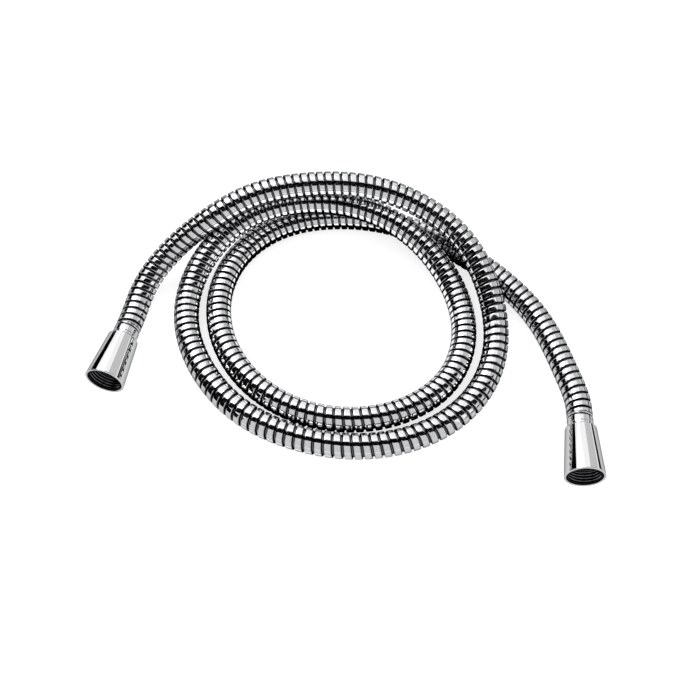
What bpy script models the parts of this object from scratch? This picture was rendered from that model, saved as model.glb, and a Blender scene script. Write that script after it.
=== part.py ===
"""Metal shower hose: a strip-wound metal casing over a rubber liner, lying in two loose turns.

Both ends are alike. A barbed nipple with a flange holds the liner, a crimped ferrule covers the
joint, and a conical union nut with a G1/2 thread is held by the flange: it spins on the ferrule
and slides back along it on a thin thrust ring. A sealing washer lies on the flange. Every size
is in metres, +Z is up and the floor is at z = 0.
"""
import math

import bpy
import numpy as np
from mathutils import Vector

# Clearance between pieces that touch on the real hose
FIT_GAP = 0.0003

# Metal casing and the rubber liner inside it
HOSE_DIAMETER = 0.0154
CASING_WALL = 0.0012
LINER_CLEARANCE = 0.0005
LINER_DIAMETER = HOSE_DIAMETER - 2 * (CASING_WALL + LINER_CLEARANCE)
LINER_WALL = 0.0018

# Thin thrust ring between the nut's inner shoulder and the nipple's flange
THRUST_RING_LENGTH = 0.0022
THRUST_RING_WIDTH = 0.0010155

# Thread in the nut's mouth, wide enough for the thrust ring round the hose: a G1/2 thread
THREAD_MINOR_DIAMETER = HOSE_DIAMETER + 2 * (THRUST_RING_WIDTH + 2 * FIT_GAP)
THREAD_DEPTH = 0.001162
THREAD_MAJOR_DIAMETER = THREAD_MINOR_DIAMETER + 2 * THREAD_DEPTH
THREAD_LEAD_IN = 0.0001

# Conical union nut, measured from its mouth
NUT_LENGTH = 0.0315
NUT_MOUTH_WALL = 0.0015225
NUT_REAR_WALL = 0.0013
NUT_MOUTH_DIAMETER = THREAD_MAJOR_DIAMETER + 2 * NUT_MOUTH_WALL
NUT_REAR_DIAMETER = HOSE_DIAMETER + 2 * (FIT_GAP + NUT_REAR_WALL)
NUT_MOUTH_ROUND = 0.0005
NUT_REAR_ROUND = 0.0011
NUT_SHOULDER_DEPTH = 0.0175

# Brass nipple: flange, neck, collar behind the ferrule's lip, and barbed tail in the liner
FLANGE_LENGTH = 0.0025
COLLAR_CLEARANCE = 0.0006
COLLAR_DIAMETER = HOSE_DIAMETER - 2 * (CASING_WALL + COLLAR_CLEARANCE)
COLLAR_LENGTH = 0.0012
COLLAR_STEP = 0.0009
NECK_DIAMETER = COLLAR_DIAMETER - 2 * COLLAR_STEP
BARB_CLEARANCE = 0.0006
BARB_DIAMETER = LINER_DIAMETER - 2 * (LINER_WALL + BARB_CLEARANCE)
BARB_DEPTH = 0.0003
BARB_PITCH = 0.0032
BARB_COUNT = 4
TAIL_DIAMETER = BARB_DIAMETER - 2 * BARB_DEPTH
TAIL_WALL = 0.0006
NIPPLE_BORE_DIAMETER = TAIL_DIAMETER - 2 * TAIL_WALL

# Rubber sealing washer on the flange
WASHER_LENGTH = 0.0025
WASHER_HOLE_DIAMETER = 0.0110

# Ferrule: it shows behind the nut for this length, and its front lip holds the nipple
FERRULE_SHOWN_LENGTH = 0.0080
FERRULE_LIP_LENGTH = 0.0020
FERRULE_EDGE_ROUND = 0.0004

# Where the two nuts lie: mouth position on the floor plan, and heading of the mouth
LEFT_MOUTH = (-0.1402, -0.0343)
LEFT_HEADING = math.radians(-104.8)
RIGHT_MOUTH = (0.1396, -0.0954)
RIGHT_HEADING = math.radians(-91.7)

# Route of the hose's centreline from the left ferrule to the right one, chosen by hand:
# up over the other turns, round the outer turn, over and round the inner turn, and out below
ROUTE = [
    (-0.1225, 0.0310, 0.0100), (-0.1040, 0.0540, 0.0205), (-0.0800, 0.0680, 0.0332),
    (-0.0570, 0.0795, 0.0390), (-0.0220, 0.0882, 0.0400), (0.0140, 0.0880, 0.0390),
    (0.0480, 0.0790, 0.0325), (0.0755, 0.0570, 0.0257), (0.0915, 0.0240, 0.0165),
    (0.0935, -0.0125, 0.0090), (0.0775, -0.0460, 0.0077), (0.0470, -0.0675, 0.0077),
    (0.0100, -0.0745, 0.0077), (-0.0265, -0.0685, 0.0077), (-0.0600, -0.0510, 0.0077),
    (-0.0840, -0.0225, 0.0077), (-0.0950, 0.0135, 0.0090), (-0.0860, 0.0480, 0.0155),
    (-0.0600, 0.0745, 0.0225), (-0.0250, 0.0860, 0.0238), (0.0110, 0.0825, 0.0236),
    (0.0435, 0.0655, 0.0200), (0.0670, 0.0375, 0.0115), (0.0755, 0.0020, 0.0077),
    (0.0635, -0.0325, 0.0077), (0.0335, -0.0530, 0.0077), (-0.0035, -0.0570, 0.0077),
    (-0.0380, -0.0450, 0.0077), (-0.0645, -0.0185, 0.0077), (-0.0755, 0.0165, 0.0077),
    (-0.0670, 0.0525, 0.0077), (-0.0405, 0.0775, 0.0077), (-0.0045, 0.0860, 0.0077),
    (0.0320, 0.0815, 0.0077), (0.0660, 0.0655, 0.0077), (0.0955, 0.0430, 0.0077),
    (0.1215, 0.0105, 0.0077), (0.1360, -0.0275, 0.0077),
]
STRAIGHT_STUB = 0.004
ROUTE_STATIONS = 76
SAMPLES_PER_SPAN = 24

# Fineness of the faceted solids
NUT_FACETS = 32
INNER_FACETS = 24
CASING_BEVEL_RESOLUTION = 4
LINER_BEVEL_RESOLUTION = 3
ROUND_STEPS = 3
MERGE_DISTANCE = 0.00001

# Radii and depths that follow from the sizes above; depths run from the mouth into the nut
HOSE_RADIUS = HOSE_DIAMETER / 2
MOUTH_RADIUS = NUT_MOUTH_DIAMETER / 2
REAR_RADIUS = NUT_REAR_DIAMETER / 2
THREAD_RADIUS = THREAD_MINOR_DIAMETER / 2
INSIDE_NUT_RADIUS = THREAD_RADIUS - FIT_GAP
SLIDING_BORE_RADIUS = HOSE_RADIUS + FIT_GAP
CONE_TILT = math.atan((MOUTH_RADIUS - REAR_RADIUS) / NUT_LENGTH)
THRUST_RING_DEPTH = NUT_SHOULDER_DEPTH - FIT_GAP - THRUST_RING_LENGTH
FLANGE_DEPTH = THRUST_RING_DEPTH - FIT_GAP - FLANGE_LENGTH
WASHER_DEPTH = FLANGE_DEPTH - FIT_GAP - WASHER_LENGTH
FERRULE_DEPTH = THRUST_RING_DEPTH
LIP_END_DEPTH = FERRULE_DEPTH + FERRULE_LIP_LENGTH
FERRULE_END_DEPTH = NUT_LENGTH + FERRULE_SHOWN_LENGTH
COLLAR_DEPTH = LIP_END_DEPTH + FIT_GAP
COLLAR_END_DEPTH = COLLAR_DEPTH + COLLAR_LENGTH
LINER_DEPTH = COLLAR_END_DEPTH + FIT_GAP
CASING_DEPTH = FERRULE_END_DEPTH + FIT_GAP


def clear_scene():
    """Remove whatever the scene holds before the hose is built"""
    for old in list(bpy.data.objects):
        bpy.data.objects.remove(old, do_unlink=True)


def make_collection(name):
    """A collection for the hose's pieces, linked to the scene"""
    collection = bpy.data.collections.new(name)
    bpy.context.scene.collection.children.link(collection)
    return collection


def make_material(name, colour, roughness, metallic):
    """A plain Principled material"""
    material = bpy.data.materials.new(name)
    material.use_nodes = True
    shader = material.node_tree.nodes["Principled BSDF"]
    shader.inputs["Base Color"].default_value = (*colour, 1.0)
    shader.inputs["Roughness"].default_value = roughness
    shader.inputs["Metallic"].default_value = metallic
    material.diffuse_color = (*colour, 1.0)
    return material


def cone_corner(depth, round_radius, start_angle, end_angle):
    """Points of a rounded corner, as (radius, height), that runs smoothly into the nut's cone"""
    cone_radius = MOUTH_RADIUS - depth * math.tan(CONE_TILT)
    return corner(cone_radius - round_radius / math.cos(CONE_TILT), depth, round_radius,
                  start_angle, end_angle)


def corner(radius, depth, round_radius, start_angle, end_angle):
    """Points of a rounded corner, as (radius, height), about a centre at that radius and depth"""
    points = []
    for step in range(ROUND_STEPS + 1):
        angle = start_angle + (end_angle - start_angle) * step / ROUND_STEPS
        points.append((radius + round_radius * math.cos(angle),
                       -depth + round_radius * math.sin(angle)))
    return points


def ring_outline(outer_radius, inner_radius, depth, end_depth):
    """Outline of a plain ring: down its outer side, then up its bore"""
    return [(outer_radius, -depth), (outer_radius, -end_depth),
            (inner_radius, -end_depth), (inner_radius, -depth)]


def nut_outline():
    """Outline of the conical nut: rounded rim and rear, sliding bore, shoulder, thread's bore"""
    rim = cone_corner(NUT_MOUTH_ROUND, NUT_MOUTH_ROUND, math.pi / 2, -CONE_TILT)
    rear = cone_corner(NUT_LENGTH - NUT_REAR_ROUND, NUT_REAR_ROUND, -CONE_TILT, -math.pi / 2)
    lead_in_radius = THREAD_MAJOR_DIAMETER / 2 + THREAD_LEAD_IN
    bore = [(SLIDING_BORE_RADIUS, -NUT_LENGTH),
            (SLIDING_BORE_RADIUS, -NUT_SHOULDER_DEPTH),
            (THREAD_RADIUS, -NUT_SHOULDER_DEPTH),
            (THREAD_RADIUS, -(lead_in_radius - THREAD_RADIUS)),
            (lead_in_radius, 0.0)]
    return rim + rear + bore


def nipple_outline():
    """Outline of the nipple: flange, neck, collar, barbed tail, and the bore for the water"""
    outline = ring_outline(INSIDE_NUT_RADIUS, NECK_DIAMETER / 2,
                           FLANGE_DEPTH, FLANGE_DEPTH + FLANGE_LENGTH)[:3]
    outline += [(NECK_DIAMETER / 2, -COLLAR_DEPTH),
                (COLLAR_DIAMETER / 2, -COLLAR_DEPTH),
                (COLLAR_DIAMETER / 2, -COLLAR_END_DEPTH),
                (TAIL_DIAMETER / 2, -COLLAR_END_DEPTH)]
    for barb in range(1, BARB_COUNT + 1):
        depth = COLLAR_END_DEPTH + barb * BARB_PITCH
        outline += [(TAIL_DIAMETER / 2, -depth), (BARB_DIAMETER / 2, -depth)]
    tail_end = COLLAR_END_DEPTH + (BARB_COUNT + 1) * BARB_PITCH
    outline += [(TAIL_DIAMETER / 2, -tail_end),
                (NIPPLE_BORE_DIAMETER / 2, -tail_end),
                (NIPPLE_BORE_DIAMETER / 2, -FLANGE_DEPTH)]
    return outline


def ferrule_outline():
    """Outline of the ferrule: a sleeve as wide as the hose, with a lip round the nipple's neck"""
    sleeve_radius = HOSE_RADIUS - CASING_WALL
    lip_radius = NECK_DIAMETER / 2 + FIT_GAP
    rear = corner(HOSE_RADIUS - FERRULE_EDGE_ROUND, FERRULE_END_DEPTH - FERRULE_EDGE_ROUND,
                  FERRULE_EDGE_ROUND, 0.0, -math.pi / 2)
    return [(HOSE_RADIUS, -FERRULE_DEPTH)] + rear + [
        (sleeve_radius, -FERRULE_END_DEPTH), (sleeve_radius, -LIP_END_DEPTH),
        (lip_radius, -LIP_END_DEPTH), (lip_radius, -FERRULE_DEPTH)]


def turned_piece(name, outline, facets, material, parent, collection):
    """A solid of revolution about the end's own axis, from a closed (radius, height) outline"""
    mesh = bpy.data.meshes.new(name)
    corners = [(radius, 0.0, height) for radius, height in outline]
    edges = [(index, (index + 1) % len(corners)) for index in range(len(corners))]
    mesh.from_pydata(corners, edges, [])
    mesh.materials.append(material)
    piece = bpy.data.objects.new(name, mesh)
    collection.objects.link(piece)
    piece.parent = parent
    turn = piece.modifiers.new("Turn", "SCREW")
    turn.axis = "Z"
    turn.angle = 2 * math.pi
    turn.steps = facets
    turn.render_steps = facets
    turn.use_merge_vertices = True
    turn.merge_threshold = MERGE_DISTANCE
    turn.use_smooth_shade = True
    return piece


def end_frame(name, mouth, heading, collection):
    """An empty at a nut's mouth, its +Z out along the nut's axis; the nut's side lies flat on z = 0"""
    axis = Vector((math.cos(heading) * math.cos(CONE_TILT),
                   math.sin(heading) * math.cos(CONE_TILT),
                   math.sin(CONE_TILT)))
    frame = bpy.data.objects.new(name, None)
    frame.empty_display_size = NUT_LENGTH
    frame.location = (mouth[0], mouth[1], MOUTH_RADIUS * math.cos(CONE_TILT))
    frame.rotation_euler = axis.to_track_quat("Z", "Y").to_euler()
    collection.objects.link(frame)
    return frame, axis


def make_end(side, mouth, heading, materials, collection):
    """Every piece of one end, and the axis that the hose's route leaves it by"""
    frame, axis = end_frame(f"{side}_end_axis", mouth, heading, collection)
    pieces = [
        ("union_nut", nut_outline(), NUT_FACETS, "chromed_brass"),
        ("sealing_washer", ring_outline(INSIDE_NUT_RADIUS, WASHER_HOLE_DIAMETER / 2, WASHER_DEPTH,
                                        WASHER_DEPTH + WASHER_LENGTH), INNER_FACETS, "rubber"),
        ("thrust_ring", ring_outline(INSIDE_NUT_RADIUS, SLIDING_BORE_RADIUS, THRUST_RING_DEPTH,
                                     THRUST_RING_DEPTH + THRUST_RING_LENGTH),
         INNER_FACETS, "white_plastic"),
        ("nipple", nipple_outline(), INNER_FACETS, "brass"),
        ("ferrule", ferrule_outline(), INNER_FACETS, "polished_steel"),
    ]
    for kind, outline, facets, material in pieces:
        name = f"{side}_{kind}"
        turned_piece(name, outline, facets, materials[material], frame, collection)
    return Vector(frame.location), axis


def smooth_curve(points, start_slope, end_slope, count):
    """Evenly spaced points on the cubic spline through points that leaves and ends by the slopes"""
    knots = np.array(points)
    steps = np.linalg.norm(np.diff(knots, axis=0), axis=1)
    rises = np.diff(knots, axis=0) / steps[:, None]
    last = len(knots) - 1
    system = np.zeros((last + 1, last + 1))
    wanted = np.zeros_like(knots)
    system[0, :2] = 2 * steps[0], steps[0]
    wanted[0] = 6 * (rises[0] - np.array(start_slope))
    for row in range(1, last):
        system[row, row - 1:row + 2] = steps[row - 1], 2 * (steps[row - 1] + steps[row]), steps[row]
        wanted[row] = 6 * (rises[row] - rises[row - 1])
    system[last, last - 1:] = steps[-1], 2 * steps[-1]
    wanted[last] = 6 * (np.array(end_slope) - rises[-1])
    bends = np.linalg.solve(system, wanted)

    dense = []
    for span in range(last):
        for part in np.linspace(0.0, 1.0, SAMPLES_PER_SPAN, endpoint=False):
            near, far = (1 - part) * steps[span], part * steps[span]
            dense.append((bends[span] * near ** 3 + bends[span + 1] * far ** 3) / (6 * steps[span])
                         + (knots[span] / steps[span] - bends[span] * steps[span] / 6) * near
                         + (knots[span + 1] / steps[span] - bends[span + 1] * steps[span] / 6) * far)
    dense.append(knots[-1])
    dense = np.array(dense)
    lengths = np.concatenate([[0.0], np.cumsum(np.linalg.norm(np.diff(dense, axis=0), axis=1))])
    stations = np.linspace(0.0, lengths[-1], count)
    return [Vector([np.interp(station, lengths, dense[:, side]) for side in range(3)])
            for station in stations]


def hose_route(left, right, depth):
    """Centreline from that depth on one end's axis to the other's, straight beside each end,
    and nowhere nearer the floor than the hose's own radius
    """
    (left_mouth, left_axis), (right_mouth, right_axis) = left, right
    stub_depth = CASING_DEPTH + STRAIGHT_STUB
    start = left_mouth - left_axis * stub_depth
    finish = right_mouth - right_axis * stub_depth
    free = smooth_curve([start] + ROUTE + [finish], -left_axis, right_axis, ROUTE_STATIONS)
    for place in free:
        place.z = max(place.z, HOSE_RADIUS)
    return [left_mouth - left_axis * depth] + free + [right_mouth - right_axis * depth]


def hollow_tube(name, route, outer_radius, wall, bevel_resolution, material, collection):
    """A tube along the route: a round bevel with open ends, thickened inwards"""
    curve = bpy.data.curves.new(f"{name}_route", "CURVE")
    curve.dimensions = "3D"
    curve.bevel_depth = outer_radius
    curve.bevel_resolution = bevel_resolution
    spline = curve.splines.new("POLY")
    spline.points.add(len(route) - 1)
    for point, place in zip(spline.points, route):
        point.co = (*place, 1.0)
    swept = bpy.data.objects.new(f"{name}_route", curve)
    collection.objects.link(swept)
    evaluated = swept.evaluated_get(bpy.context.evaluated_depsgraph_get())
    mesh = bpy.data.meshes.new_from_object(evaluated)
    mesh.name = name
    mesh.materials.clear()
    mesh.materials.append(material)
    mesh.shade_smooth()
    tube = bpy.data.objects.new(name, mesh)
    tube.matrix_world = swept.matrix_world
    collection.objects.link(tube)
    bpy.data.objects.remove(swept, do_unlink=True)
    shell = tube.modifiers.new("Wall", "SOLIDIFY")
    shell.thickness = wall
    shell.offset = -1.0
    shell.use_even_offset = True
    return tube


def main():
    """Build the whole hose"""
    clear_scene()
    collection = make_collection("metal_shower_hose")
    materials = {
        "chromed_brass": make_material("chromed_brass", (0.86, 0.87, 0.88), 0.06, 1.0),
        "polished_steel": make_material("polished_steel", (0.80, 0.81, 0.82), 0.12, 1.0),
        "brass": make_material("brass", (0.80, 0.62, 0.32), 0.25, 1.0),
        "rubber": make_material("rubber", (0.025, 0.025, 0.027), 0.65, 0.0),
        "white_plastic": make_material("white_plastic", (0.82, 0.82, 0.80), 0.45, 0.0),
    }
    left = make_end("left", LEFT_MOUTH, LEFT_HEADING, materials, collection)
    right = make_end("right", RIGHT_MOUTH, RIGHT_HEADING, materials, collection)
    hollow_tube("metal_casing", hose_route(left, right, CASING_DEPTH), HOSE_RADIUS, CASING_WALL,
                CASING_BEVEL_RESOLUTION, materials["polished_steel"], collection)
    hollow_tube("inner_liner", hose_route(left, right, LINER_DEPTH), LINER_DIAMETER / 2,
                LINER_WALL, LINER_BEVEL_RESOLUTION, materials["rubber"], collection)


main()
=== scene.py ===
"""Metal shower hose, dressed for its picture: the wound steel strip with its helical groove, the
turned and threaded chrome nuts, the ferrules and the small pieces inside them.
"""
import math

import bmesh
import bpy
import numpy as np
from mathutils import Matrix, Vector


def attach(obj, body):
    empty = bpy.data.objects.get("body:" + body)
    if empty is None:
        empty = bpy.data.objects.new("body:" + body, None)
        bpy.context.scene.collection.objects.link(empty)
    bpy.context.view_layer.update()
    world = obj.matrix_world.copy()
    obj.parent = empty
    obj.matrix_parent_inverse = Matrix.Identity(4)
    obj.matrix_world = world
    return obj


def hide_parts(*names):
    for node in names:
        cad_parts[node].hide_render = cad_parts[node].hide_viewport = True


# Sizes in metres, the same as those of the solids
FIT_GAP = 0.0003
HOSE_RADIUS = 0.0077
LINER_RADIUS = 0.0060
LINER_WALL = 0.0018
THREAD_RADIUS = 0.0093155
THREAD_DEPTH = 0.001162
THREAD_PITCH = 0.001814
NUT_LENGTH = 0.0315
MOUTH_RADIUS = 0.0120
REAR_RADIUS = 0.0093
NUT_SHOULDER_DEPTH = 0.0175
CONE_TILT = math.atan((MOUTH_RADIUS - REAR_RADIUS) / NUT_LENGTH)
SLIDING_BORE_RADIUS = HOSE_RADIUS + FIT_GAP
# Radius below which the ferrule's plating gets painted shade, in its groove and bore
FERRULE_GROOVE_RADIUS = 0.0072
CASING_DEPTH = 0.0398
LINER_DEPTH = 0.0188

# The thread cut into each nut: depths from the mouth between which it runs, and the open mouth
THREAD_START = 0.0008
THREAD_END = 0.0092
THREAD_RINGS = 56
MOUTH_OPENING_RADIUS = 0.01065
MOUTH_CHAMFER_SLOPE = 1.1
NUT_STEPS = 112
SMALL_STEPS = 64

# Where the nuts lie, and the hose's centreline from one ferrule to the other
LEFT_MOUTH = (-0.1402, -0.0343)
LEFT_HEADING = math.radians(-104.8)
RIGHT_MOUTH = (0.1396, -0.0954)
RIGHT_HEADING = math.radians(-91.7)
ROUTE = [
    (-0.1225, 0.0310, 0.0100), (-0.1040, 0.0540, 0.0205), (-0.0800, 0.0680, 0.0332),
    (-0.0570, 0.0795, 0.0390), (-0.0220, 0.0882, 0.0400), (0.0140, 0.0880, 0.0390),
    (0.0480, 0.0790, 0.0325), (0.0755, 0.0570, 0.0257), (0.0915, 0.0240, 0.0165),
    (0.0935, -0.0125, 0.0090), (0.0775, -0.0460, 0.0077), (0.0470, -0.0675, 0.0077),
    (0.0100, -0.0745, 0.0077), (-0.0265, -0.0685, 0.0077), (-0.0600, -0.0510, 0.0077),
    (-0.0840, -0.0225, 0.0077), (-0.0950, 0.0135, 0.0090), (-0.0860, 0.0480, 0.0155),
    (-0.0600, 0.0745, 0.0225), (-0.0250, 0.0860, 0.0238), (0.0110, 0.0825, 0.0236),
    (0.0435, 0.0655, 0.0200), (0.0670, 0.0375, 0.0115), (0.0755, 0.0020, 0.0077),
    (0.0635, -0.0325, 0.0077), (0.0335, -0.0530, 0.0077), (-0.0035, -0.0570, 0.0077),
    (-0.0380, -0.0450, 0.0077), (-0.0645, -0.0185, 0.0077), (-0.0755, 0.0165, 0.0077),
    (-0.0670, 0.0525, 0.0077), (-0.0405, 0.0775, 0.0077), (-0.0045, 0.0860, 0.0077),
    (0.0320, 0.0815, 0.0077), (0.0660, 0.0655, 0.0077), (0.0955, 0.0430, 0.0077),
    (0.1215, 0.0105, 0.0077), (0.1360, -0.0275, 0.0077),
]
STRAIGHT_STUB = 0.004

# Length of one turn of the strip along the hose, which gives a little where the hose is pushed
# together or pulled apart: distance from the left ferrule, and pitch there
PITCHES = [
    (0.00, 0.00480), (0.10, 0.00480), (0.20, 0.00505), (0.28, 0.00485), (0.36, 0.00503),
    (0.42, 0.00535), (0.48, 0.00562), (0.54, 0.00530), (0.60, 0.00445), (0.66, 0.00438),
    (0.74, 0.00495), (0.80, 0.00470), (0.85, 0.00425), (0.90, 0.00472), (0.96, 0.00535),
    (1.01, 0.00540), (1.06, 0.00490), (1.11, 0.00437), (1.16, 0.00455), (1.24, 0.00490),
    (1.34, 0.00465), (1.43, 0.00465),
]
# One turn of the strip, across it: share of the pitch, and depth below the crest
STRIP_PROFILE = [
    (0.000, 0.00140), (0.100, 0.00134), (0.120, 0.00080), (0.134, 0.00034), (0.164, 0.00010),
    (0.215, 0.00001), (0.270, 0.00000), (0.730, 0.00000), (0.785, 0.00001), (0.836, 0.00010),
    (0.866, 0.00034), (0.880, 0.00080), (0.900, 0.00134), (1.000, 0.00140),
]
STRIP_STEPS = 24
STRIP_BACK_RADIUS = 0.00615
STRIP_BACK_RINGS = 220
SEAM_MERGE = 0.00002
LINER_SEGMENTS = 20
LINER_RINGS = 260

# Light: level of the world and how it changes with height (1 is straight above), the softbox at
# the upper left, the floor's colour, and the cards that the metal mirrors: name, centre, width
# and height, tilt, shade
WORLD_LEVEL = 1.75
WORLD_LIGHT = [(0.30, 0.05), (0.60, 0.95), (0.90, 1.00), (0.99, 0.40)]
SOFTBOX_SIZE = 0.9
SOFTBOX_POWER = 5.0
SOFTBOX_PLACE = (-0.50, 0.70, 1.15)
FLOOR_COLOUR = (0.42, 0.42, 0.42)
FLOOR_LIFT = 0.72
FLOOR_CARDS = [
    ("floor_card", (0.0, 0.004, 0.0003), (0.102, 0.092), 2.9, 0.70),
    # A black sheet under the turns, seen only in the metal: painted shade standing in for the shaded
    # floor under and between the turns
    ("under_turns_painted_shade", (0.0, 0.004, 0.0003), (0.066, 0.053), 1.48, 0.0),
]
CARDS = [
    ("overhead_flag", (0.0, -0.125, 0.517), (1.8, 0.35), ("X", 0), 0.0),
    ("camera_arm_flag", (0.01, -0.102, 0.25), (0.26, 0.12), ("X", 0), 0.0),
    ("left_back_flag", (-1.3, 1.41, 0.48), (0.96, 1.58), ("Y", 90), 0.0),
    ("left_front_flag", (-1.3, -0.30, 0.50), (1.00, 1.30), ("Y", 90), 0.0),
    ("left_floor_flag", (-0.80, 0.50, 0.001), (1.04, 3.2), ("X", 0), 0.0),
    ("right_flag", (1.3, 0.90, 0.11), (0.22, 2.8), ("Y", 90), 0.02),
    ("right_floor_flag", (0.80, 0.50, 0.001), (1.04, 3.2), ("X", 0), 0.03),
    ("right_card", (1.3, 1.20, 1.30), (1.9, 3.4), ("Y", 90), 0.58),
    ("right_card_rim", (1.3, 1.20, 2.30), (0.10, 3.4), ("Y", 90), 0.30),
    ("front_card", (0.0, -1.0, 0.95), (3.0, 1.9), ("X", 90), 0.66),
    ("back_flag", (0.0, 1.7, 0.18), (2.6, 0.36), ("X", 90), 0.32),
    ("back_floor_flag", (0.0, 1.0, 0.0015), (1.6, 1.4), ("X", 0), 0.36),
]

# Camera of the photograph: aim, distance, height above the floor plane and lens
CAMERA_AIM = Vector((0.007, -0.007, 0.0))
CAMERA_DISTANCE = 0.7018
CAMERA_ELEVATION = math.radians(61.9)
CAMERA_LENS = 58.73
CAMERA_SHIFT = -0.0029


def photo_camera():
    """The camera at the photograph's angle"""
    lens = bpy.data.cameras.new("photo_camera")
    lens.sensor_width = 36.0
    lens.lens = CAMERA_LENS
    lens.shift_x = CAMERA_SHIFT
    lens.clip_start, lens.clip_end = 0.01, 50.0
    camera = bpy.data.objects.new("photo_camera", lens)
    camera.location = CAMERA_AIM + CAMERA_DISTANCE * Vector(
        (0.0, -math.cos(CAMERA_ELEVATION), math.sin(CAMERA_ELEVATION)))
    camera.rotation_euler = (math.pi / 2 - CAMERA_ELEVATION, 0.0, 0.0)
    bpy.context.scene.collection.objects.link(camera)
    bpy.context.scene.camera = camera



def end_axis(mouth, heading):
    """Centre of a nut's mouth and the direction out of it; the nut's side lies flat on the floor"""
    axis = Vector((math.cos(heading) * math.cos(CONE_TILT),
                   math.sin(heading) * math.cos(CONE_TILT), math.sin(CONE_TILT)))
    return Vector((mouth[0], mouth[1], MOUTH_RADIUS * math.cos(CONE_TILT))), axis


def smooth_curve(points, start_slope, end_slope, samples):
    """Points on the cubic spline through points that leaves and ends by the given slopes"""
    knots = np.array(points)
    steps = np.linalg.norm(np.diff(knots, axis=0), axis=1)
    rises = np.diff(knots, axis=0) / steps[:, None]
    last = len(knots) - 1
    system = np.zeros((last + 1, last + 1))
    wanted = np.zeros_like(knots)
    system[0, :2] = 2 * steps[0], steps[0]
    wanted[0] = 6 * (rises[0] - np.array(start_slope))
    for row in range(1, last):
        system[row, row - 1:row + 2] = steps[row - 1], 2 * (steps[row - 1] + steps[row]), steps[row]
        wanted[row] = 6 * (rises[row] - rises[row - 1])
    system[last, last - 1:] = steps[-1], 2 * steps[-1]
    wanted[last] = 6 * (np.array(end_slope) - rises[-1])
    bends = np.linalg.solve(system, wanted)
    dense = []
    for span in range(last):
        for part in np.linspace(0.0, 1.0, samples, endpoint=False):
            near, far = (1 - part) * steps[span], part * steps[span]
            dense.append((bends[span] * near ** 3 + bends[span + 1] * far ** 3) / (6 * steps[span])
                         + (knots[span] / steps[span] - bends[span] * steps[span] / 6) * near
                         + (knots[span + 1] / steps[span] - bends[span + 1] * steps[span] / 6) * far)
    dense.append(knots[-1])
    return np.array(dense)


class Route:
    """The centreline by arc length, with a frame that turns as little as it can along it"""

    def __init__(self, left, right, depth):
        (left_mouth, left_axis), (right_mouth, right_axis) = left, right
        stub = CASING_DEPTH + STRAIGHT_STUB
        start, finish = left_mouth - left_axis * stub, right_mouth - right_axis * stub
        free = smooth_curve([start] + ROUTE + [finish], -left_axis, right_axis, 48)
        free[:, 2] = np.maximum(free[:, 2], HOSE_RADIUS)
        lead = np.array([left_mouth - left_axis * (depth + (stub - depth) * k / 8) for k in range(8)])
        tail = np.array([right_mouth - right_axis * (stub - (stub - depth) * k / 8) for k in range(1, 9)])
        points = np.vstack([lead, free, tail])
        lengths = np.concatenate([[0.0], np.cumsum(np.linalg.norm(np.diff(points, axis=0), axis=1))])
        self.length = lengths[-1]
        self.stations = np.linspace(0.0, self.length, 2400)
        self.points = np.stack([np.interp(self.stations, lengths, points[:, side])
                                for side in range(3)], axis=1)
        tangents = np.gradient(self.points, axis=0)
        self.tangents = tangents / np.linalg.norm(tangents, axis=1)[:, None]
        side = np.cross((0.0, 0.0, 1.0), self.tangents[0])
        sides = []
        for tangent in self.tangents:
            side = side - tangent * (side @ tangent)
            side = side / np.linalg.norm(side)
            sides.append(side)
        self.sides = np.array(sides)
        self.ups = np.cross(self.tangents, self.sides)

    def at(self, table, stations):
        """Rows of one of the tables at the given stations"""
        return np.stack([np.interp(stations, self.stations, table[:, side])
                         for side in range(3)], axis=1)

    def bend(self, straight):
        """Places of points given on a straight hose as (across, up, along)"""
        along = straight[:, 2]
        return (self.at(self.points, along)
                + self.at(self.sides, along) * straight[:, 0:1]
                + self.at(self.ups, along) * straight[:, 1:2])



def placing(end):
    """Matrix that lays a piece drawn along Z, with the nut's mouth at z = 0, on an end's axis"""
    mouth, axis = end
    side = Vector((0.0, 0.0, 1.0)).cross(axis).normalized()
    return (Matrix.Translation(mouth)
            @ Matrix((side, axis.cross(side), axis)).transposed().to_4x4())


def piece_from(bm, name, material, body, node, sharp=None):
    """Turn a bmesh into a shaded piece that rides on its body and stands for its CAD node"""
    mesh = bpy.data.meshes.new(name)
    bm.to_mesh(mesh)
    bm.free()
    return dress(mesh, name, material, body, node, sharp)


def dress(mesh, name, material, body, node, sharp=None):
    """Shade a mesh, give it its finish, and let it ride and stand for its CAD node"""
    mesh.materials.clear()
    mesh.materials.append(material)
    mesh.shade_smooth()
    if sharp is not None:
        mesh.set_sharp_from_angle(angle=math.radians(sharp))
    piece = bpy.data.objects.new(name, mesh)
    bpy.context.scene.collection.objects.link(piece)
    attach(piece, body)
    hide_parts(node)
    return piece


def one_turn():
    """One turn of the strip on a straight hose, one unit long: its profile spun along a helix"""
    bm = bmesh.new()
    row = [bm.verts.new((HOSE_RADIUS - depth, 0.0, share - 1.0)) for share, depth in STRIP_PROFILE]
    edges = [bm.edges.new(pair) for pair in zip(row, row[1:])]
    bmesh.ops.spin(bm, geom=row + edges, cent=(0, 0, 0), axis=(0, 0, 1),
                   dvec=(0, 0, 1 / STRIP_STEPS), angle=math.tau, steps=STRIP_STEPS,
                   use_merge=False)
    mesh = bpy.data.meshes.new("one_turn")
    bm.to_mesh(mesh)
    bm.free()
    return mesh


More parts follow.
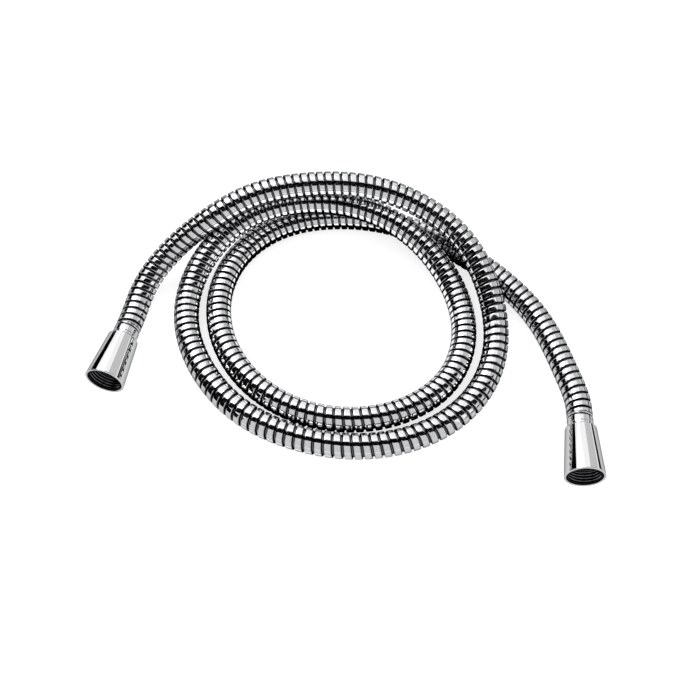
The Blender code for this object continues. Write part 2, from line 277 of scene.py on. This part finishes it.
def repeat_turns(mesh, count):
    """The turn repeated end to end by an Array, as a bmesh with its seams merged"""
    turn = bpy.data.objects.new("one_turn", mesh)
    bpy.context.scene.collection.objects.link(turn)
    array = turn.modifiers.new("turns", "ARRAY")
    array.use_relative_offset = False
    array.use_constant_offset = True
    array.constant_offset_displace = (0, 0, 1)
    array.count = count
    array.use_merge_vertices = True
    array.merge_threshold = SEAM_MERGE
    repeated = bpy.data.meshes.new_from_object(
        turn.evaluated_get(bpy.context.evaluated_depsgraph_get()))
    bm = bmesh.new()
    bm.from_mesh(repeated)
    bmesh.ops.remove_doubles(bm, verts=bm.verts, dist=SEAM_MERGE)
    bpy.data.objects.remove(turn, do_unlink=True)
    bpy.data.meshes.remove(repeated)
    return bm


def add_tube(bm, radius, length, segments, rings):
    """Add an open straight tube that stands on z = 0"""
    tube = bmesh.new()
    ring = bmesh.ops.create_circle(tube, segments=segments, radius=radius)["verts"]
    bmesh.ops.spin(tube, geom=ring + tube.edges[:], cent=(0, 0, 0), axis=(0, 0, 1),
                   dvec=(0, 0, length / rings), angle=0.0, steps=rings, use_merge=False)
    mesh = bpy.data.meshes.new("tube")
    tube.to_mesh(mesh)
    tube.free()
    bm.from_mesh(mesh)
    bpy.data.meshes.remove(mesh)


def close_ends(bm, length):
    """Bridge the outer and the inner rim at each end, and turn all faces outwards"""
    for height in (0.0, length):
        rims = [edge for edge in bm.edges if edge.is_boundary
                and all(abs(vert.co.z - height) < SEAM_MERGE for vert in edge.verts)]
        bmesh.ops.bridge_loops(bm, edges=rims)
    bmesh.ops.recalc_face_normals(bm, faces=bm.faces)


def straight_places(mesh):
    """The vertices of a mesh that still lies straight, as rows of (across, up, along)"""
    places = np.empty(len(mesh.vertices) * 3)
    mesh.vertices.foreach_get("co", places)
    return places.reshape(-1, 3)


def wound_strip(route, material):
    """The wound strip, stretched to the pitch of each stretch and bent along the route"""
    stations = np.linspace(0.0, route.length, 2000)
    pitches = np.interp(stations, *zip(*PITCHES))
    wound = np.concatenate([[0.0], np.cumsum(np.diff(stations) * 2 / (pitches[1:] + pitches[:-1]))])
    turns = float(wound[-1])
    bm = repeat_turns(one_turn(), math.ceil(turns) + 2)
    for height, side in ((0.0, -1), (turns, 1)):
        bmesh.ops.bisect_plane(bm, geom=bm.verts[:] + bm.edges[:] + bm.faces[:], dist=SEAM_MERGE,
                               plane_co=(0, 0, height), plane_no=(0, 0, side), clear_outer=True)
    add_tube(bm, STRIP_BACK_RADIUS, turns, STRIP_STEPS, STRIP_BACK_RINGS)
    close_ends(bm, turns)
    mesh = bpy.data.meshes.new("wound_steel_strip")
    bm.to_mesh(mesh)
    bm.free()
    places = straight_places(mesh)
    share = (places[:, 2] - np.arctan2(places[:, 1], places[:, 0]) / math.tau) % 1.0
    off_crest = mesh.attributes.new("off_crest", "FLOAT", "POINT")
    off_crest.data.foreach_set("value", np.abs(2 * share - 1))
    places[:, 2] = np.interp(places[:, 2], wound, stations)
    mesh.vertices.foreach_set("co", route.bend(places).ravel())
    mesh.update()
    return dress(mesh, "wound_steel_strip", material, "hose", "metal_casing",
                 sharp=34)


def rubber_liner(route, material):
    """The smooth tube inside the strip, from nipple to nipple"""
    bm = bmesh.new()
    for radius in (LINER_RADIUS, LINER_RADIUS - LINER_WALL):
        add_tube(bm, radius, route.length, LINER_SEGMENTS, LINER_RINGS)
    close_ends(bm, route.length)
    mesh = bpy.data.meshes.new("rubber_liner")
    bm.to_mesh(mesh)
    bm.free()
    mesh.vertices.foreach_set("co", route.bend(straight_places(mesh)).ravel())
    mesh.update()
    return dress(mesh, "rubber_liner", material, "hose", "inner_liner", sharp=40)


def rounded(corners, steps=5):
    """Points of a closed outline, each of whose corners (radius, height, round) becomes an arc"""
    points = []
    for index, (radius, height, fillet) in enumerate(corners):
        here = Vector((radius, height))
        if not fillet:
            points.append(here)
            continue
        back = (Vector(corners[index - 1][:2]) - here).normalized()
        onward = (Vector(corners[(index + 1) % len(corners)][:2]) - here).normalized()
        half = back.angle(onward) / 2
        centre = here + (back + onward).normalized() * fillet / math.sin(half)
        first = here + back * fillet / math.tan(half) - centre
        last = here + onward * fillet / math.tan(half) - centre
        points += [centre + first.lerp(last, step / steps).normalized() * fillet
                   for step in range(steps + 1)]
    return points


def turned(outline, steps):
    """A closed (radius, height) outline spun about Z, with each point's depth kept on it"""
    bm = bmesh.new()
    row = [bm.verts.new((radius, 0.0, height)) for radius, height in outline]
    edges = [bm.edges.new(pair) for pair in zip(row, row[1:] + row[:1])]
    bmesh.ops.spin(bm, geom=row + edges, cent=(0, 0, 0), axis=(0, 0, 1), dvec=(0, 0, 0),
                   angle=math.tau, steps=steps, use_merge=True)
    bmesh.ops.remove_doubles(bm, verts=bm.verts, dist=0.000002)
    bmesh.ops.recalc_face_normals(bm, faces=bm.faces)
    from_mouth = bm.verts.layers.float.new("from_mouth")
    for vert in bm.verts:
        vert[from_mouth] = -vert.co.z
    return bm


def thread_cut(turn):
    """How deep the thread is cut at a share of its turn: round crest, 55 degree flanks, round root"""
    flank = 1.0 - abs(2.0 * (turn % 1.0) - 1.0)
    return flank * flank * (3.0 - 2.0 * flank)


def union_nut(end, side, material):
    """Conical union nut: rounded ends, threaded mouth, bore that slides on the ferrule"""
    bore = [(THREAD_RADIUS, -THREAD_START - (THREAD_END - THREAD_START) * ring / THREAD_RINGS, 0)
            for ring in range(THREAD_RINGS, -1, -1)]
    bm = turned(rounded([
        (MOUTH_RADIUS, 0.0, 0.0005), (REAR_RADIUS, -NUT_LENGTH, 0.0011),
        (SLIDING_BORE_RADIUS, -NUT_LENGTH, 0.0002),
        (SLIDING_BORE_RADIUS, -NUT_SHOULDER_DEPTH, 0.0001),
        (THREAD_RADIUS, -NUT_SHOULDER_DEPTH, 0.0001), *bore,
        (MOUTH_OPENING_RADIUS, -THREAD_START + 0.0001, 0), (MOUTH_OPENING_RADIUS, 0.0, 0.0003),
    ]), NUT_STEPS)
    inside = bm.verts.layers.float.new("inside")
    for vert in bm.verts:
        radius, depth = vert.co.xy.length, -vert.co.z
        outer = MOUTH_RADIUS - (MOUTH_RADIUS - REAR_RADIUS) * depth / NUT_LENGTH
        # Painted shade: the bore behind the mouth is marked 1, for near-black colour
        vert[inside] = 1.0 if radius < outer - 0.0011 and depth > 0.0002 else 0.0
        if radius < THREAD_RADIUS + 0.00001 and THREAD_START <= depth < THREAD_END - 0.00001:
            turn = vert.co.z / THREAD_PITCH - math.atan2(vert.co.y, vert.co.x) / math.tau
            cut = THREAD_RADIUS + THREAD_DEPTH * thread_cut(turn) * min(
                1.0, (THREAD_END - depth) / THREAD_PITCH)
            # Painted shade on the thread: marked 0.7 on its crests up to 1 in its roots, so the roots
            # paint darker than the crests
            vert[inside] = 0.7 + 0.3 * thread_cut(turn)
            chamfer = MOUTH_OPENING_RADIUS - (depth - THREAD_START) * MOUTH_CHAMFER_SLOPE
            scale = max(cut, chamfer) / radius
            vert.co.x, vert.co.y = vert.co.x * scale, vert.co.y * scale
    bmesh.ops.transform(bm, matrix=placing(end), verts=bm.verts)
    return piece_from(bm, f"{side}_nut", material, f"{side}_nut",
                      f"{side}_union_nut", sharp=50)


def small_piece(end, name, corners, material, body, node):
    """A turned piece inside the nut or behind it, given as corners (radius, depth, round) in mm"""
    bm = turned(rounded([(radius / 1000, -depth / 1000, fillet / 1000)
                         for radius, depth, fillet in corners]), SMALL_STEPS)
    inside = bm.verts.layers.float.new("inside")
    for vert in bm.verts:
        # Painted shade: points nearer the axis than FERRULE_GROOVE_RADIUS are marked inside, which paints
        # the ferrule's groove and bore nearly black; the other small pieces' finishes don't read the mark
        vert[inside] = 1.0 if vert.co.xy.length < FERRULE_GROOVE_RADIUS else 0.0
    bmesh.ops.transform(bm, matrix=placing(end), verts=bm.verts)
    return piece_from(bm, name, material, body, node, sharp=50)


def barbed_tail():
    """Corners of the nipple's tail, from its flange to its tip: four barbs that hold the liner"""
    barbs = []
    for barb in range(4):
        foot = 20.5 + 3.2 * barb
        barbs += [(3.3, foot, 0.05), (3.6, foot, 0.05), (3.3, foot + 2.4, 0)]
    return barbs


def metal(name, colour, roughness, spread, grain):
    """A polished metal whose gloss and surface vary a little, with nodes for more detail"""
    material = bpy.data.materials.new(name)
    material.use_nodes = True
    nodes, links = material.node_tree.nodes, material.node_tree.links
    shader = nodes["Principled BSDF"]
    shader.inputs["Base Color"].default_value = (*colour, 1.0)
    shader.inputs["Metallic"].default_value = 1.0
    place = nodes.new("ShaderNodeTexCoord")
    clouds = nodes.new("ShaderNodeTexNoise")
    clouds.inputs["Scale"].default_value = grain
    clouds.inputs["Detail"].default_value = 4.0
    links.new(place.outputs["Object"], clouds.inputs["Vector"])
    gloss = nodes.new("ShaderNodeMapRange")
    gloss.inputs["From Min"].default_value = 0.3
    gloss.inputs["From Max"].default_value = 0.7
    gloss.inputs["To Min"].default_value = roughness - spread
    gloss.inputs["To Max"].default_value = roughness + spread
    links.new(clouds.outputs["Fac"], gloss.inputs["Value"])
    links.new(gloss.outputs["Result"], shader.inputs["Roughness"])
    return material, shader, clouds, gloss


def ramp_of(material, attribute, stops):
    """A colour ramp over one of the piece's own attributes"""
    nodes, links = material.node_tree.nodes, material.node_tree.links
    value = nodes.new("ShaderNodeAttribute")
    value.attribute_name = attribute
    ramp = nodes.new("ShaderNodeValToRGB")
    first, last = ramp.color_ramp.elements
    first.position, last.position = stops[0][0], stops[-1][0]
    first.color, last.color = (*stops[0][1], 1.0), (*stops[-1][1], 1.0)
    for position, colour in stops[1:-1]:
        ramp.color_ramp.elements.new(position).color = (*colour, 1.0)
    links.new(value.outputs["Fac"], ramp.inputs["Fac"])
    return ramp


def add_bump(material, height, depth, strength=1.0):
    """Lay a height, such as fine lines or grain, on a finish as bump of the given depth"""
    nodes, links = material.node_tree.nodes, material.node_tree.links
    bump = nodes.new("ShaderNodeBump")
    bump.inputs["Strength"].default_value = strength
    bump.inputs["Distance"].default_value = depth
    links.new(height, bump.inputs["Height"])
    links.new(bump.outputs["Normal"], nodes["Principled BSDF"].inputs["Normal"])
    return bump


def strip_finish():
    """Bright rolled strip: fine lines along its crest, painted shade darker towards the crest's edges and
    nearly black down in the groove
    """
    material, shader, clouds, gloss = metal("polished_strip", (0.84, 0.85, 0.86), 0.07, 0.03, 420.0)
    links = material.node_tree.links
    # Painted shade: the colour darkens from the middle of the crest towards its edges and is nearly black
    # on the groove's walls and floor
    groove = ramp_of(material, "off_crest", [
        (0.44, (0.86, 0.87, 0.88)), (0.54, (0.76, 0.77, 0.78)), (0.66, (0.48, 0.485, 0.49)),
        (0.71, (0.14, 0.14, 0.15)), (0.75, (0.02, 0.02, 0.025)), (0.90, (0.06, 0.06, 0.065)),
        (1.00, (0.18, 0.18, 0.19))])
    links.new(groove.outputs["Color"], shader.inputs["Base Color"])
    # Painted shade along the silhouettes: the dark Specular Tint darkens the reflection where the strip
    # turns away from view
    shader.inputs["Specular Tint"].default_value = (0.12, 0.12, 0.125, 1.0)
    lines = ramp_of(material, "off_crest", [
        (0.44, (1, 1, 1)), (0.48, (0.5, 0.5, 0.5)), (0.52, (1, 1, 1))])
    add_bump(material, lines.outputs["Color"], 0.000012)
    return material


def plating(name, colour, roughness, inside=False, rim=1.0):
    """Chrome plating with faint polishing marks round it; painted shade darkens its edges and, where
    asked, paints it nearly black inside a bore or groove
    """
    material, shader, clouds, gloss = metal(name, colour, roughness, 0.02, 160.0)
    # Painted shade along the silhouettes: a dark Specular Tint, set by rim, darkens the reflection where
    # the surface turns away from view
    shader.inputs["Specular Tint"].default_value = (rim, rim, rim, 1.0)
    nodes, links = material.node_tree.nodes, material.node_tree.links
    marks = nodes.new("ShaderNodeTexNoise")
    marks.noise_dimensions = "1D"
    marks.inputs["Scale"].default_value = 2600.0
    marks.inputs["Detail"].default_value = 3.0
    depth = nodes.new("ShaderNodeAttribute")
    depth.attribute_name = "from_mouth"
    links.new(depth.outputs["Fac"], marks.inputs["W"])
    add_bump(material, marks.outputs["Fac"], 0.0000015)
    if inside:
        # Painted shade: where the piece marks itself inside, the colour goes from the metal's own to
        # nearly black in a bore, a thread's roots or a groove
        bore = ramp_of(material, "inside", [
            (0.3, colour), (0.7, (0.20, 0.20, 0.21)), (0.95, (0.03, 0.03, 0.035))])
        links.new(bore.outputs["Color"], shader.inputs["Base Color"])
    return material


def turned_brass():
    """Plain brass with the lathe's marks round it"""
    material = plating("turned_brass", (0.80, 0.60, 0.30), 0.26)
    material.node_tree.nodes["Bump"].inputs["Distance"].default_value = 0.00001
    return material


def soft_finish(name, dark, light, roughness, grain, depth):
    """Rubber or plastic with a fine grain in its colour, gloss and surface"""
    material, shader, clouds, gloss = metal(name, dark, roughness, 0.06, grain)
    shader.inputs["Metallic"].default_value = 0.0
    nodes, links = material.node_tree.nodes, material.node_tree.links
    tint = nodes.new("ShaderNodeValToRGB")
    low, high = tint.color_ramp.elements
    low.position, high.position = 0.35, 0.65
    low.color, high.color = (*dark, 1.0), (*light, 1.0)
    links.new(clouds.outputs["Fac"], tint.inputs["Fac"])
    links.new(tint.outputs["Color"], shader.inputs["Base Color"])
    add_bump(material, clouds.outputs["Fac"], depth)
    return material


def hose_end(end, side, finishes):
    """The pieces at one end: nut, ferrule, nipple, thrust ring and sealing washer"""
    chrome, cap, brass, rubber, plastic = finishes
    union_nut(end, side, chrome)
    small_piece(end, f"{side}_crimped_ferrule", [
        (7.7, 39.5, 0.3), (6.5, 39.5, 0.1), (6.5, 17.0, 0.1), (5.3, 17.0, 0.1), (5.3, 15.0, 0.1),
        (7.7, 15.0, 0.3), (7.7, 32.4, 0.1), (7.4, 32.5, 0.1), (7.4, 33.6, 0.1), (7.7, 33.8, 0.3),
        (7.7, 37.3, 0.4), (6.95, 37.7, 0.1), (6.95, 38.4, 0.1), (7.55, 38.8, 0.2),
    ], cap, "hose", f"{side}_ferrule")
    small_piece(end, f"{side}_barbed_nipple", [
        (9.0, 12.2, 0.3), (9.0, 14.7, 0.3), (5.0, 14.7, 0.2), (5.0, 17.3, 0.1), (5.9, 17.3, 0.1),
        (5.9, 18.5, 0.1), (3.3, 18.5, 0.2),
        *barbed_tail(),
        (3.3, 34.5, 0.1), (2.7, 34.5, 0.1), (2.7, 12.2, 0.4),
    ], brass, "hose", f"{side}_nipple")
    small_piece(end, f"{side}_rubber_washer", [
        (9.0, 9.4, 0.25), (9.0, 11.9, 0.25), (5.5, 11.9, 0.25), (5.5, 9.4, 0.25),
    ], rubber, "hose", f"{side}_sealing_washer")
    small_piece(end, f"{side}_slip_ring", [
        (9.0, 15.0, 0.3), (9.0, 17.2, 0.3), (8.0, 17.2, 0.15), (8.0, 15.0, 0.15),
    ], plastic, f"{side}_ring", f"{side}_thrust_ring")


def rectangle(name, centre, size, tilt):
    """A plain rectangle that belongs to the studio, not to the hose"""
    bm = bmesh.new()
    bmesh.ops.create_grid(bm, x_segments=1, y_segments=1, size=0.5)
    bmesh.ops.scale(bm, vec=(*size, 1.0), verts=bm.verts)
    bmesh.ops.rotate(bm, cent=(0, 0, 0), matrix=Matrix.Rotation(math.radians(tilt[1]), 3, tilt[0]),
                     verts=bm.verts)
    bmesh.ops.translate(bm, vec=centre, verts=bm.verts)
    mesh = bpy.data.meshes.new(name)
    bm.to_mesh(mesh)
    bm.free()
    sheet = bpy.data.objects.new(name, mesh)
    bpy.context.scene.collection.objects.link(sheet)
    material = bpy.data.materials.new(name)
    material.use_nodes = True
    mesh.materials.append(material)
    return sheet, material.node_tree


def lay_floor():
    """The pale floor, which keeps the hose's shadow"""
    floor, tree = rectangle("floor", (0, 0, 0), (8.0, 8.0), ("X", 0))
    shader = tree.nodes["Principled BSDF"]
    shader.inputs["Base Color"].default_value = (*FLOOR_COLOUR, 1.0)
    shader.inputs["Roughness"].default_value = 0.9
    shader.inputs["Specular IOR Level"].default_value = 0.0
    shader.inputs["Emission Color"].default_value = (1.0, 1.0, 1.0, 1.0)
    rays = tree.nodes.new("ShaderNodeLightPath")
    seen = tree.nodes.new("ShaderNodeMath")
    through = tree.nodes.new("ShaderNodeMath")
    through.operation = "MAXIMUM"
    lift = tree.nodes.new("ShaderNodeMath")
    lift.operation = "MULTIPLY"
    lift.inputs[1].default_value = FLOOR_LIFT
    tree.links.new(rays.outputs["Is Camera Ray"], seen.inputs[0])
    tree.links.new(rays.outputs["Is Glossy Ray"], seen.inputs[1])
    tree.links.new(seen.outputs["Value"], through.inputs[0])
    tree.links.new(rays.outputs["Is Transmission Ray"], through.inputs[1])
    tree.links.new(through.outputs["Value"], lift.inputs[0])
    tree.links.new(lift.outputs["Value"], shader.inputs["Emission Strength"])


def glow_in_metal(card, tree, shade):
    """Give a card one even shade that only the metal shows"""
    glow = tree.nodes.new("ShaderNodeEmission")
    glow.inputs["Color"].default_value = (shade, shade, shade, 1.0)
    tree.links.new(glow.outputs["Emission"], tree.nodes["Material Output"].inputs["Surface"])
    card.visible_camera = card.visible_diffuse = card.visible_shadow = False


def hang_card(name, centre, size, tilt, shade):
    """A card beside or above the hose, seen only in the metal"""
    card, tree = rectangle(name, centre, size, tilt)
    glow_in_metal(card, tree, shade)


def lay_floor_card(name, centre, inner, reach, shade):
    """An oval sheet on the floor with a hole in it, seen only in the metal"""
    card, tree = rectangle(name, (0.0, 0.0, 0.0), (1.0, 1.0), ("X", 0))
    bm = bmesh.new()
    rim = bmesh.ops.create_circle(bm, segments=96, radius=1.0)["verts"]
    bmesh.ops.scale(bm, vec=(*inner, 1.0), verts=rim)
    outer = bmesh.ops.extrude_edge_only(bm, edges=bm.edges[:])["geom"]
    outer = [part for part in outer if isinstance(part, bmesh.types.BMVert)]
    bmesh.ops.scale(bm, vec=(reach, reach, 1.0), verts=outer)
    bmesh.ops.translate(bm, vec=centre, verts=bm.verts)
    bm.to_mesh(card.data)
    bm.free()
    glow_in_metal(card, tree, shade)


def studio():
    """White world for the picture and for the metal, softer for the light it gives"""
    world = bpy.data.worlds.new("studio")
    world.use_nodes = True
    nodes, links = world.node_tree.nodes, world.node_tree.links
    rays = nodes.new("ShaderNodeLightPath")
    seen = nodes.new("ShaderNodeMath")
    seen.operation = "MAXIMUM"
    through = nodes.new("ShaderNodeMath")
    through.operation = "MAXIMUM"
    place = nodes.new("ShaderNodeTexCoord")
    height = nodes.new("ShaderNodeSeparateXYZ")
    sky = nodes.new("ShaderNodeValToRGB")
    for position, brightness in WORLD_LIGHT:
        stop = sky.color_ramp.elements.new(position)
        stop.color = (brightness, brightness, brightness, 1.0)
    sky.color_ramp.elements.remove(sky.color_ramp.elements[0])
    sky.color_ramp.elements.remove(sky.color_ramp.elements[-1])
    brighten = nodes.new("ShaderNodeMath")
    brighten.operation = "MULTIPLY"
    brighten.inputs[1].default_value = WORLD_LEVEL
    level = nodes.new("ShaderNodeMapRange")
    level.inputs["To Max"].default_value = 1.0
    links.new(place.outputs["Generated"], height.inputs["Vector"])
    links.new(height.outputs["Z"], sky.inputs["Fac"])
    links.new(sky.outputs["Color"], brighten.inputs[0])
    links.new(brighten.outputs["Value"], level.inputs["To Min"])
    links.new(rays.outputs["Is Camera Ray"], seen.inputs[0])
    links.new(rays.outputs["Is Glossy Ray"], seen.inputs[1])
    links.new(seen.outputs["Value"], through.inputs[0])
    links.new(rays.outputs["Is Transmission Ray"], through.inputs[1])
    links.new(through.outputs["Value"], level.inputs["Value"])
    links.new(level.outputs["Result"], nodes["Background"].inputs["Strength"])
    nodes["Background"].inputs["Color"].default_value = (1, 1, 1, 1)
    bpy.context.scene.world = world
    softbox = bpy.data.lights.new("softbox", "AREA")
    softbox.size = SOFTBOX_SIZE
    softbox.energy = SOFTBOX_POWER
    lamp = bpy.data.objects.new("softbox", softbox)
    lamp.location = SOFTBOX_PLACE
    lamp.rotation_euler = (-Vector(SOFTBOX_PLACE)).to_track_quat("-Z", "Y").to_euler()
    bpy.context.scene.collection.objects.link(lamp)


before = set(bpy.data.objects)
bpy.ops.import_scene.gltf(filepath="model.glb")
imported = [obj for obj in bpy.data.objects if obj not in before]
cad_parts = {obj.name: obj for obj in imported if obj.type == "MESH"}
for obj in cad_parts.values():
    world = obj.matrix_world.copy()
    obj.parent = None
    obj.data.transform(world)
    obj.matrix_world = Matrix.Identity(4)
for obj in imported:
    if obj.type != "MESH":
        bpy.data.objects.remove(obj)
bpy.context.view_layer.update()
photo_camera()
left_end = end_axis(LEFT_MOUTH, LEFT_HEADING)
right_end = end_axis(RIGHT_MOUTH, RIGHT_HEADING)
route = Route(left_end, right_end, CASING_DEPTH)
strip = wound_strip(route, strip_finish())
rubber_liner(Route(left_end, right_end, LINER_DEPTH),
             soft_finish("liner_rubber", (0.03, 0.03, 0.032), (0.05, 0.05, 0.052), 0.6, 700.0,
                         0.00002))
finishes = (
    plating("nut_chrome", (0.88, 0.885, 0.89), 0.05, inside=True, rim=0.35),
    plating("ferrule_chrome", (0.84, 0.85, 0.86), 0.08, inside=True, rim=0.15),
    turned_brass(),
    soft_finish("washer_rubber", (0.02, 0.02, 0.021), (0.04, 0.04, 0.041), 0.62, 900.0, 0.00003),
    soft_finish("ring_plastic", (0.80, 0.80, 0.78), (0.84, 0.84, 0.82), 0.4, 500.0, 0.00001),
)
hose_end(left_end, "left", finishes)
hose_end(right_end, "right", finishes)

studio()
lay_floor()
for card in FLOOR_CARDS:
    lay_floor_card(*card)
for card in CARDS:
    hang_card(*card)
bpy.context.scene.view_settings.view_transform = "Standard"
